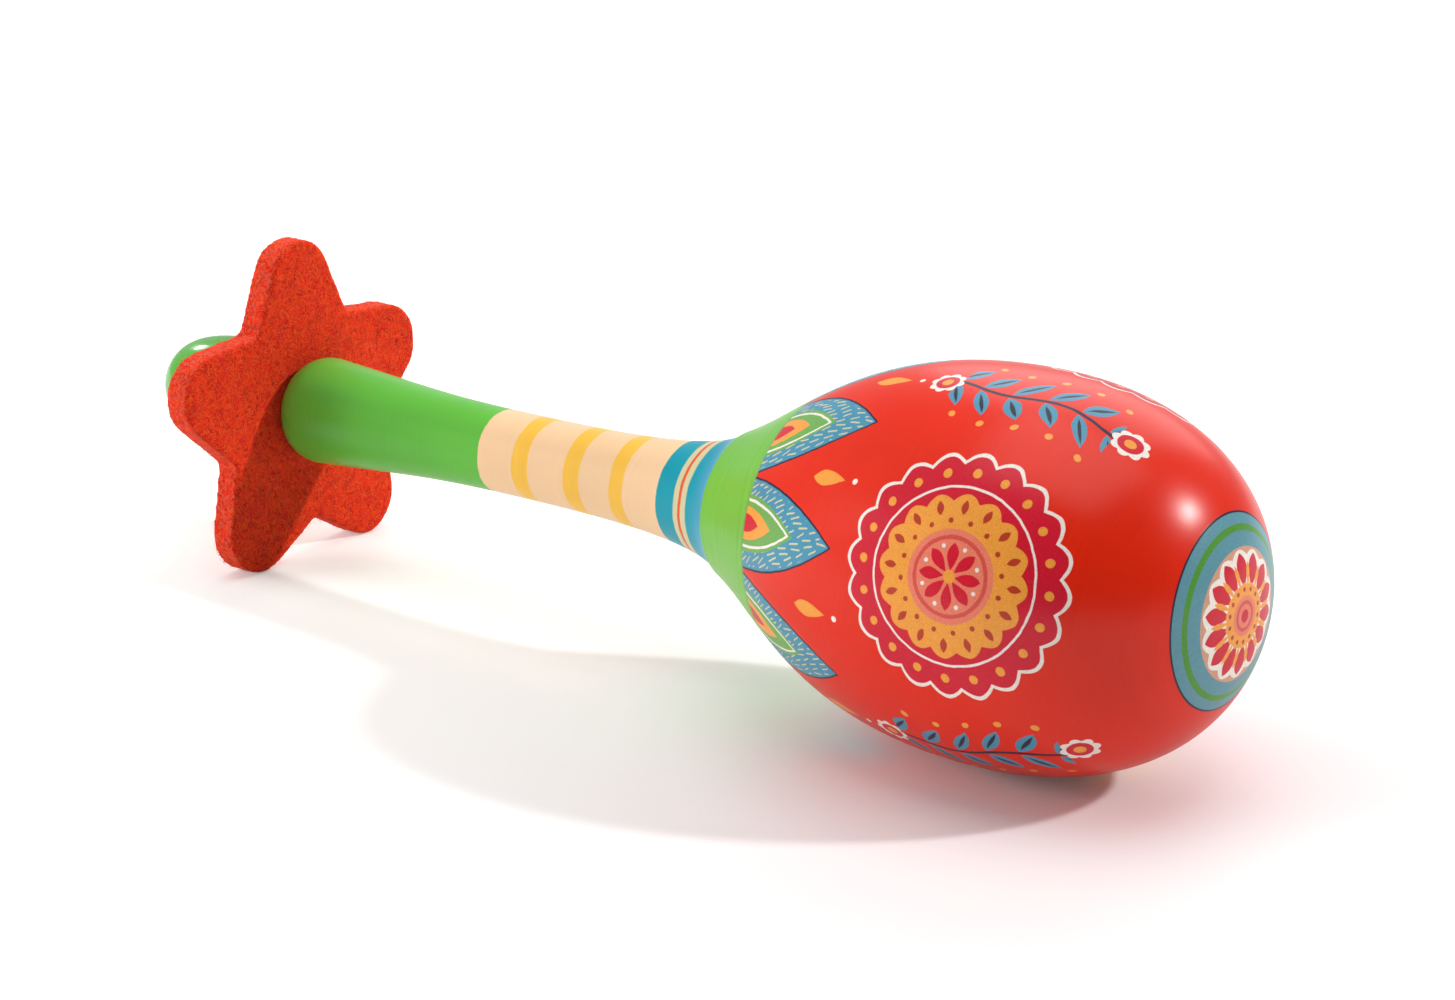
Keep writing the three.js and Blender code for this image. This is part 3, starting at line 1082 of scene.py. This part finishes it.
def flat_sheet(along, out, turn):
    """Places on the sheet that touches the egg at the nearest rosette's middle."""
    folded = sector(turn, ROSETTES, FIRST_ROSETTE)
    middle = nose_radius(ROSETTE_PLACE)
    tilt = math.atan(nose_radius(ROSETTE_PLACE + 0.5) - nose_radius(ROSETTE_PLACE - 0.5))
    rise = out * folded.math("COSINE") - middle
    ahead = (along - ROSETTE_PLACE) * math.cos(tilt) + rise * math.sin(tilt)
    return ahead, out * folded.math("SINE")


print("A rosette is", len(ROSETTE), "figures, and there are", ROSETTES, "rosettes")

# %% [markdown]
# ### Neck petals and sprigs
#
# Nine hatched petals rise from the green neck. Each holds smaller ones of the same outline: a green heart
# with a chalk line, an orange one and a crimson one. A drop and a dot stand between each two.

# %% Draw the neck petals
NECK_BORDER = 109.6
NECK_PETALS = 9
NECK_PETAL_LENGTH = 21
NECK_PETAL_HALF_WIDTH = 6.6
NECK_PETAL_FULLNESS = 2.3
HEART_SHARE = 0.62
HEART_LINE_INSET = 0.75
INNER_HEARTS = ((ORANGE, 0.36), (CRIMSON, 0.2))
HATCH = {"Pitch": 2.6, "Row": 0.95, "Width": 0.26}
HATCH_INSET = 0.5
DROP_PLACE = 17.5
DROP_SIZES = (3.2, 1.1, -0.5)
DROP_TO_DOT = 5
DROP_DOT_RADIUS = 0.45


def neck_petal_edge(ahead, aside, share):
    """The distance beyond a neck petal, or a smaller one inside it."""
    reach = (ahead / (NECK_PETAL_LENGTH * share)).math("MAXIMUM", 0)
    return abs(aside) - (1 - reach.math("POWER", NECK_PETAL_FULLNESS)) * (NECK_PETAL_HALF_WIDTH * share)


def draw_neck_petals(layer, along, out, turn):
    ahead = along - NECK_BORDER
    aside = out * sector(turn, NECK_PETALS, FIRST_ROSETTE)
    edge = neck_petal_edge(ahead, aside, 1)
    strokes = use_group(along.tree, HATCH_STROKES, {"U": along, "V": out * turn, **HATCH})["Mask"]
    layer.window = inside(-1 * ahead)
    layer.lay(BLUE, inside(edge))
    layer.lay(STRAW, strokes * inside(edge + HATCH_INSET))
    layer.lay(NAVY, line(edge, 0.16))
    heart = neck_petal_edge(ahead, aside, HEART_SHARE)
    layer.lay(LEAF, inside(heart))
    layer.lay(CHALK, line(heart + HEART_LINE_INSET, 0.2))
    for ink, share in INNER_HEARTS:
        layer.lay(ink, inside(neck_petal_edge(ahead, aside, share)))
    layer.window = None
    drop = ahead - DROP_PLACE
    between = out * sector(turn, NECK_PETALS, FIRST_ROSETTE + math.pi / NECK_PETALS)
    layer.lay(ORANGE, petal(drop, between, *DROP_SIZES))
    layer.lay(CHALK, dot(drop - DROP_TO_DOT, between, DROP_DOT_RADIUS))
    layer.lay(LEAF, line(ahead, 0.22))


print(NECK_PETALS, "petals stand round the neck, each", NECK_PETAL_LENGTH, "mm long")

# %% [markdown]
# A sprig stands between each two rosettes: a waving stem with pairs of leaves, each with a dark vein and a
# berry beside it. They are drawn once and folded along the stem and across it. A bud ends the stem.

# %% Draw the sprigs
SPRIG_HALF_LENGTH = 12.5
STEM_TURN_RATE = 0.33
STEM_SWAY = 0.8
STEM_HALF_WIDTH = 0.3
LEAF_PITCH = 5
LEAF_TILT = math.radians(38)
LEAF_FOOT = 1.2
LEAF_OUT = 3.6
LEAF_SIZES = (3, 1.15, -0.25)
VEIN_SIZES = (2.2, 0.3)
BERRY_BEFORE_LEAF = 0.6
BERRY_OUT = 6.6
BERRY_RADIUS = 0.55
BUD_PLACE = SPRIG_HALF_LENGTH + 2
BUD = ((CHALK, lobes, 8, 2.1, 0.5), (CRIMSON, disc, 1.7), (ORANGE, disc, 0.8))


def draw_sprigs(layer, along, out, turn):
    ahead = along - ROSETTE_PLACE
    aside = out * sector(turn, ROSETTES, FIRST_ROSETTE + math.pi / ROSETTES)
    swayed = aside - (ahead * STEM_TURN_RATE).math("SINE") * STEM_SWAY
    step = ahead / LEAF_PITCH
    local = (step - step.math("FLOOR")) * LEAF_PITCH - LEAF_FOOT
    side = abs(swayed)
    blade = local * math.sin(LEAF_TILT) + side * math.cos(LEAF_TILT) - LEAF_OUT
    width = local * math.cos(LEAF_TILT) - side * math.sin(LEAF_TILT)
    layer.window = inside(abs(ahead) - SPRIG_HALF_LENGTH)
    layer.lay(BLUE, petal(blade, width, *LEAF_SIZES))
    layer.lay(NAVY, petal(blade, width, *VEIN_SIZES))
    layer.lay(NAVY, line(swayed, STEM_HALF_WIDTH))
    layer.lay(ORANGE, dot(local + BERRY_BEFORE_LEAF, side - BERRY_OUT, BERRY_RADIUS))
    layer.window = None
    for place in (-BUD_PLACE, BUD_PLACE):
        layer.draw_wheel(ahead - place, aside, BUD)


print("A sprig is", 2 * BUD_PLACE, "mm from bud to bud")

# %% [markdown]
# ### The nose
#
# The nose carries a blue disc with a green ring and a many-petalled flower. The print was set down by hand,
# a little off the axis.

# %% Draw the nose flower
NOSE_PRINT_ASIDE = 0.15
NOSE_PRINT_UP = 0.35
NOSE_BLUE = colour(98, 152, 166)
MEADOW = colour(86, 152, 56)
BLUSH = colour(216, 160, 132)
NOSE_FLOWER = ((NAVY, disc, 13.75), (NOSE_BLUE, disc, 13.5), (MEADOW, ring, 11.7, 0.42), (BLUSH, disc, 9.3),
               (CHALK, lobes, 14, 8.2, 0.8), (CRIMSON, petals, 14, 6.2, 2.4, 1.15, 0.5),
               (ORANGE, petals, 14, 5.6, 1.8, 0.4, 0.5, math.pi / 14), (ORANGE, lobes, 14, 4.3, 0.3),
               (RUST, dots, 14, 3.7, 0.32), (CORAL, disc, 2.8), (ROSE, ring, 1.9, 0.25), (CRIMSON, disc, 0.9))


def draw_nose(layer, place, along):
    parts = add_node(place.tree, "SeparateXYZ", {"Vector": place})
    aside = Wire(place.tree, parts.outputs[1]) - NOSE_PRINT_ASIDE
    up = Wire(place.tree, parts.outputs[2]) - NOSE_PRINT_UP
    layer.window = inside(SEAM_PLACE / MM - along)
    layer.draw_wheel(up, aside, NOSE_FLOWER)
    layer.window = None


print("The nose flower is", len(NOSE_FLOWER), "figures")

# %% [markdown]
# ### The whole head
#
# Red and green paint come first, with the brush's rings in them, and the ornament over both. Ink stands a
# few thousandths of a millimetre proud under the lacquer, and its grain shows as a fine mottling.


# %% Paint and print the head
def build_grain_group():
    """The fine mottling of printed ink, as a factor near one."""
    tree, given, leave = new_group("Print grain", {"Place": "Vector", "Amount": "Float"}, {"Factor": "Float"})
    fine = soft_noise(given["Place"], 5.0, 2.0)
    plug(leave.inputs["Factor"], (fine - 0.5) * given["Amount"] + 1)
    return tree


PRINT_GRAIN = build_grain_group()


def paint_head():
    material, tree, shader = new_finish("head_print", {"Specular IOR Level": 0.33})
    spot = use_group(tree, ON_MARACA)
    hand = hand_wobble(spot["Place"], 1.6, 0.22)
    slow = hand_wobble(spot["Place"], 9.0, 0.8)
    brush = turning_rings(spot["Place"], spot["Along"], 0.9)
    along = spot["Along"] + hand["First"]
    out = spot["Out"]
    turn = spot["Turn"] + hand["Second"] / out
    green = paint(colour(106, 186, 52), colour(132, 198, 86), spread(brush, 0, 0.7))
    red = paint(RED, colour(238, 54, 22), spread(brush, 0, 0.3))
    border = inside(spot["Along"] + slow["First"] - NECK_BORDER, BAND_EDGE)
    layer = Print(paint(red, green, border), border * 0)
    draw_neck_petals(layer, along, out, turn)
    draw_sprigs(layer, along, out, turn)
    layer.draw_wheel(*flat_sheet(along, out, turn), ROSETTE)
    draw_nose(layer, spot["Place"], along)
    grain = use_group(tree, PRINT_GRAIN, {"Place": spot["Place"], "Amount": layer.inked * 0.55})["Factor"]
    relief = layer.inked * 0.006 + border * COAT_OF_PAINT + brush * 0.0006
    tint = shaded(layer.tint, grain)
    finish_lacquer(shader, spot["Place"], spot["Along"], tint, relief, (0.278, 0.3), 0.004)
    return material


head_print = paint_head()
give(head_rear, head_print)
give(head_front, head_print)
print("The head's finish has", len(head_print.node_tree.nodes), "nodes")

# %% [markdown]
# ## Wool felt
#
# Felt is dyed wool of several shades, pressed until it mats. Close up it shows short curled strands in
# orange over a red ground. Where the bump dips, the ground is painted a deeper red, as painted shade in
# the hollows. A strand is a bump of noise that is squeezed across its length, and four such layers lie in
# four ways. The punch leaves the cut wall rougher and paler than the faces, and the mesh says where that is
# in an attribute.


# %% Dye the felt
WOOL_CURL = 2.2
STRAND_TURNS = (0.3, 1.1, 1.9, 2.7)
STRAND_WIDTH = 0.22
STRAND_LENGTH = 2.4
WOOL_REDS = colour(214, 10, 18), colour(242, 40, 18)
WOOL_HOLLOW_SHADE = colour(184, 8, 18)
WOOL_ORANGE = colour(255, 90, 30)
CUT_WOOL = colour(222, 112, 96)


def build_strand_group():
    """Short strands that lie about one way and curl: one on a strand, and nothing between them."""
    tree, given, leave = new_group("Wool strands", {"Place": "Vector", "Turn": "Float", "Width": "Float",
                                                    "Length": "Float"}, {"Strand": "Float"})
    cloud = wire(tree, "TexNoise", {"Vector": given["Place"], "Scale": 0.6, "Detail": 1.0}, output="Color")
    curled = wire(tree, "VectorMath", {0: cloud, 1: [WOOL_CURL] * 3, 2: given["Place"]},
                  operation="MULTIPLY_ADD")
    across_share = given["Width"].math("POWER", -1)
    scale = wire(tree, "CombineXYZ", {"X": across_share, "Y": given["Length"].math("POWER", -1),
                                      "Z": across_share})
    turned_way = wire(tree, "CombineXYZ", {"X": given["Turn"], "Z": given["Turn"] * 0.3})
    laid = wire(tree, "VectorRotate", {"Vector": curled, "Rotation": turned_way}, rotation_type="EULER_XYZ")
    squeezed = wire(tree, "VectorMath", {0: laid, 1: scale}, operation="MULTIPLY")
    field = soft_noise(squeezed, 1.0, 1.0)
    plug(leave.inputs["Strand"], wire(tree, "MapRange", {"Value": field, "From Min": 0.54, "From Max": 0.66},
                                      interpolation_type="SMOOTHSTEP"))
    return tree


WOOL_STRANDS = build_strand_group()


def dye_felt():
    material, tree, shader = new_finish("red_felt", {"Sheen Weight": 0.15, "Sheen Roughness": 0.5,
                                                     "Sheen Tint": colour(255, 150, 110),
                                                     "Specular IOR Level": 0.15})
    place = use_group(tree, ON_MARACA)["Place"]
    cut = wire(tree, "Attribute", output="Fac", attribute_name="cut")
    clump = soft_noise(place, 0.4, 2.0)
    deep = soft_noise(place, 0.8, 1.0)
    rough = soft_noise(place, 1.7, 3.0)
    # Where the bump dips, the felt is painted a deeper red, as painted shade in its hollows.
    hollow_shade = wire(tree, "MapRange", {"Value": deep, "From Min": 0.48, "From Max": 0.7})
    tint = paint(paint(*WOOL_REDS, spread(clump, 0, 1)), WOOL_HOLLOW_SHADE, hollow_shade)
    height = clump * 0.06 + deep * -0.04
    for turn in STRAND_TURNS:
        strand = use_group(tree, WOOL_STRANDS, {"Place": place, "Turn": turn, "Width": STRAND_WIDTH,
                                                "Length": STRAND_LENGTH})["Strand"]
        tint = paint(tint, WOOL_ORANGE, strand * 0.55)
        height = height + strand * 0.01
    tint = paint(tint, CUT_WOOL, spread(rough, -0.5, 0.7).math("MAXIMUM", 0) * cut)
    height = height + rough * cut * 0.12
    bump = add_node(tree, "Bump", {"Height": height, "Strength": 1.0, "Distance": MM})
    plug(shader.inputs["Base Color"], tint)
    plug(shader.inputs["Roughness"], spread(clump, 0.85, 1.0))
    plug(shader.inputs["Normal"], Wire(tree, bump.outputs[0]))
    return material


def dye_fibres():
    material, tree, shader = new_finish("loose_wool", {"Sheen Weight": 0.3, "Specular IOR Level": 0.2})
    shade = wire(tree, "Attribute", output="Fac", attribute_name="shade")
    tint = paint(colour(214, 30, 20), colour(252, 124, 66), shade.math("POWER", 1.4))
    plug(shader.inputs["Base Color"], tint)
    plug(shader.inputs["Roughness"], shade * 0.2 + 0.7)
    return material


give(felt, dye_felt())
give(fibres, dye_fibres())
print("The felt has", len(STRAND_TURNS), "layers of strands")

# %% [markdown]
# ## Bare beech
#
# The peg and the beads are bare beech, which has fine straight grain and short dark flecks. The peg is the
# construction piece itself: its shape is right, so it only gets this material in its own slot.


# %% Plane the beech
def plane_beech():
    material, tree, shader = new_finish("bare_beech_grain", {"Specular IOR Level": 0.3})
    place = use_group(tree, ON_MARACA)["Place"]
    grain = wire(tree, "VectorMath", {0: place, 1: (0.12, 1.0, 1.0)}, operation="MULTIPLY")
    growth = soft_noise(grain, 1.4, 4.0)
    flecks = wire(tree, "TexVoronoi", {"Vector": grain, "Scale": 2.6})
    tint = paint(colour(206, 168, 122), colour(232, 202, 158), spread(growth, 0, 1))
    tint = paint(tint, colour(168, 118, 76), inside(flecks - 0.13, 0.08) * 0.6)
    bump = add_node(tree, "Bump", {"Height": growth * 0.03 - flecks * 0.01, "Strength": 1.0, "Distance": MM})
    plug(shader.inputs["Base Color"], tint)
    plug(shader.inputs["Roughness"], spread(growth, 0.5, 0.68))
    plug(shader.inputs["Normal"], Wire(tree, bump.outputs[0]))
    return material


bare_beech = plane_beech()
for bead in beads:
    give(bead, bare_beech)
frame["nodes"]["dowel"].material_slots[0].material = bare_beech
for piece in (head_rear, head_front, handle, knob):
    bare_inside(piece, bare_beech)
print("Beech on", len(beads), "beads and the peg")

# %% [markdown]
# ## The size of the felt
#
# Felt is a cloth, so the size of the sheet the flower was cut from and the area of the cut are worked out
# here.

outline = [point for i in range(PETALS) for point in petal_outline(PETAL_STEP * (i + 0.5))]
pairs = zip(outline, outline[1:] + outline[:1])
flat_area = abs(sum(a.y * b.z - b.y * a.z for a, b in pairs)) / 2
widths = [max(point[axis] for point in outline) - min(point[axis] for point in outline) for axis in (1, 2)]
print("The flower is cut from", [round(width / MM, 1) for width in widths], "mm of felt")

# %% [markdown]
# ## Floor, lamps and camera
#
# The toy lies on a white studio table that runs out of view. Under a plain level of light the table's own
# white would come out grey, so where the camera or a reflection sees it, it also glows a little. The glow is
# weakest right under the head and grows away from it, which is painted light that lifts the shadows further
# out. Near the head the glow is painted pink, as painted red light thrown by the wood, and shadows darken
# the table everywhere. In a reflection the table is a light grey, or it would veil the paint.

# %% Lay the table
FLOOR_SIZE = 12
UNDER_HEAD = Vector((0.07, -0.02, 0))
LEAST_GLOW = 0.06
TABLE_GLOW = 0.32


def white_table():
    material, tree, shader = new_finish("white_table", {"Roughness": 0.5, "Specular IOR Level": 0.2})
    place = wire(tree, "TexCoord", output="Object")
    haze = soft_noise(place, 3.0, 2.0)
    path = add_node(tree, "LightPath")
    camera_ray, glossy_ray, through_ray = (Wire(tree, path.outputs[f"Is {kind} Ray"])
                                           for kind in ("Camera", "Glossy", "Transmission"))
    white = paint(colour(242, 241, 241), colour(246, 245, 245), haze)
    plug(shader.inputs["Base Color"], paint(white, colour(200, 200, 200), glossy_ray))
    apart = wire(tree, "VectorMath", {0: place, 1: UNDER_HEAD}, output="Value", operation="DISTANCE")
    away = wire(tree, "MapRange", {"Value": apart, "From Min": 0.04, "From Max": 0.17},
                interpolation_type="SMOOTHSTEP")
    seen = camera_ray.math("MAXIMUM", glossy_ray).math("MAXIMUM", through_ray)
    # The glow grows away from the head as painted light, and near the head it is painted pink, as painted red
    # light from the wood.
    plug(shader.inputs["Emission Strength"], (away * (TABLE_GLOW - LEAST_GLOW) + LEAST_GLOW) * seen)
    plug(shader.inputs["Emission Color"], paint(colour(255, 220, 216), colour(255, 255, 255), away))
    return material


bpy.ops.object.select_all(action="DESELECT")
bpy.ops.mesh.primitive_plane_add(size=FLOOR_SIZE)
table = bpy.context.object
table.name = "studio_table"
give(table, white_table())
table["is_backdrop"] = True

# %% [markdown]
# One large soft lamp hangs overhead, two softer ones fill the side of the head that faces the camera, and one
# stands behind. Each is placed by the spot it lights and the direction it lies in from there. The two fills
# don't show in the lacquer, as a lamp behind a diffusing sheet hardly does. A highlight on lacquer says where
# its lamp is, so the two small lamps lie where the bright spots on the head and the knob ask for them, and
# the knob's own lamp lights nothing else.

# %% Hang the lamps
scene = bpy.context.scene
HEAD_SPOT = Vector((0.1004, -0.0063, 0.0447))
KNOB_SPOT = Vector((-0.0966, -0.0042, 0.0331))
MIDDLE = Vector((0.02, 0, 0.03))


def hang_lamp(name, spot, direction, distance, sides, level, shows=True):
    """An area lamp that faces a spot. A white card there, square to the lamp, renders at its level."""
    data = bpy.data.lights.new(name, "AREA")
    data.shape = "RECTANGLE"
    data.size, data.size_y = sides
    data.energy = level * (math.pi * distance) ** 2
    lamp = bpy.data.objects.new(name, data)
    way = Vector(direction).normalized()
    lamp.location = spot + way * distance
    lamp.rotation_euler = way.to_track_quat("Z", "Y").to_euler()
    lamp.visible_glossy = shows
    scene.collection.objects.link(lamp)
    return lamp


hang_lamp("overhead_softbox", MIDDLE, (0, 0, 1), 2.2, (2, 2), 0.54)
hang_lamp("left_softbox", MIDDLE, (-0.8, -0.5, 0.6), 2.5, (2.3, 2.3), 0.35, shows=False)
hang_lamp("low_left_softbox", MIDDLE, (-0.75, -0.65, 0.2), 2.5, (1.5, 1.2), 0.56, shows=False)
hang_lamp("back_softbox", MIDDLE, (-0.3, 0.8, 0.6), 2.5, (2, 2), 0.3)
hang_lamp("head_spark", HEAD_SPOT, (0.655, 0.476, 0.587), 2.4, (0.15, 0.15), 0.58)
knob_spark = hang_lamp("knob_spark", KNOB_SPOT, (-0.861, 0.241, 0.448), 2.4, (0.24, 0.15), 0.055)
knob_spark.visible_diffuse = False
knob_spark.light_linking.receiver_collection = bpy.data.collections.new("lit_by_knob_spark")
knob_spark.light_linking.receiver_collection.objects.link(knob)


def light_air(name, way, low, high, strength, least):
    """A world that is brightest towards one side, like a white backdrop, and dim elsewhere."""
    world = bpy.data.worlds.new(name)
    world.use_nodes = True
    tree = world.node_tree
    toward = wire(tree, "VectorMath", {0: wire(tree, "TexCoord", output="Generated"), 1: way},
                  output="Value", operation="DOT_PRODUCT")
    lobe = wire(tree, "MapRange", {"Value": toward, "From Min": low, "From Max": high, "To Min": least,
                                   "To Max": strength}, interpolation_type="SMOOTHSTEP")
    plug(tree.nodes["Background"].inputs["Strength"], lobe)
    tree.nodes["Background"].inputs["Color"].default_value = (1, 1, 1, 1)
    return world


scene.world = light_air("studio_air", Vector((-0.63, 0.77, 0.15)).normalized(), 0.1, 0.9, 0.4, 0)
scene.view_settings.view_transform = "Standard"

# %% [markdown]
# The camera stands low in front of the head, to the right, with a long lens, as for a product picture.

# %% Set up the camera
camera_data = bpy.data.cameras.new("product_camera")
camera_data.sensor_fit = "HORIZONTAL"
camera_data.sensor_width = 36
camera_data.lens = 78.892
camera = bpy.data.objects.new("product_camera", camera_data)
camera.location = (0.30718, -0.35459, 0.17415)
camera.rotation_euler = [math.radians(angle) for angle in (72.289, -0.117, 39.370)]
scene.collection.objects.link(camera)
scene.camera = camera

# %% [markdown]
# ## Finish
#
# The box round everything that shows is printed beside the construction model's box, so that the two
# can be compared: the looks must not change the size.

# %% Print the sizes
visual_box = [list(corner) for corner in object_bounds()]
for axis, (cad_side, visual_side) in enumerate(zip(zip(*cad_box), zip(*visual_box))):
    print("XYZ"[axis], [round(value / MM, 2) for value in (*cad_side, *visual_side)])
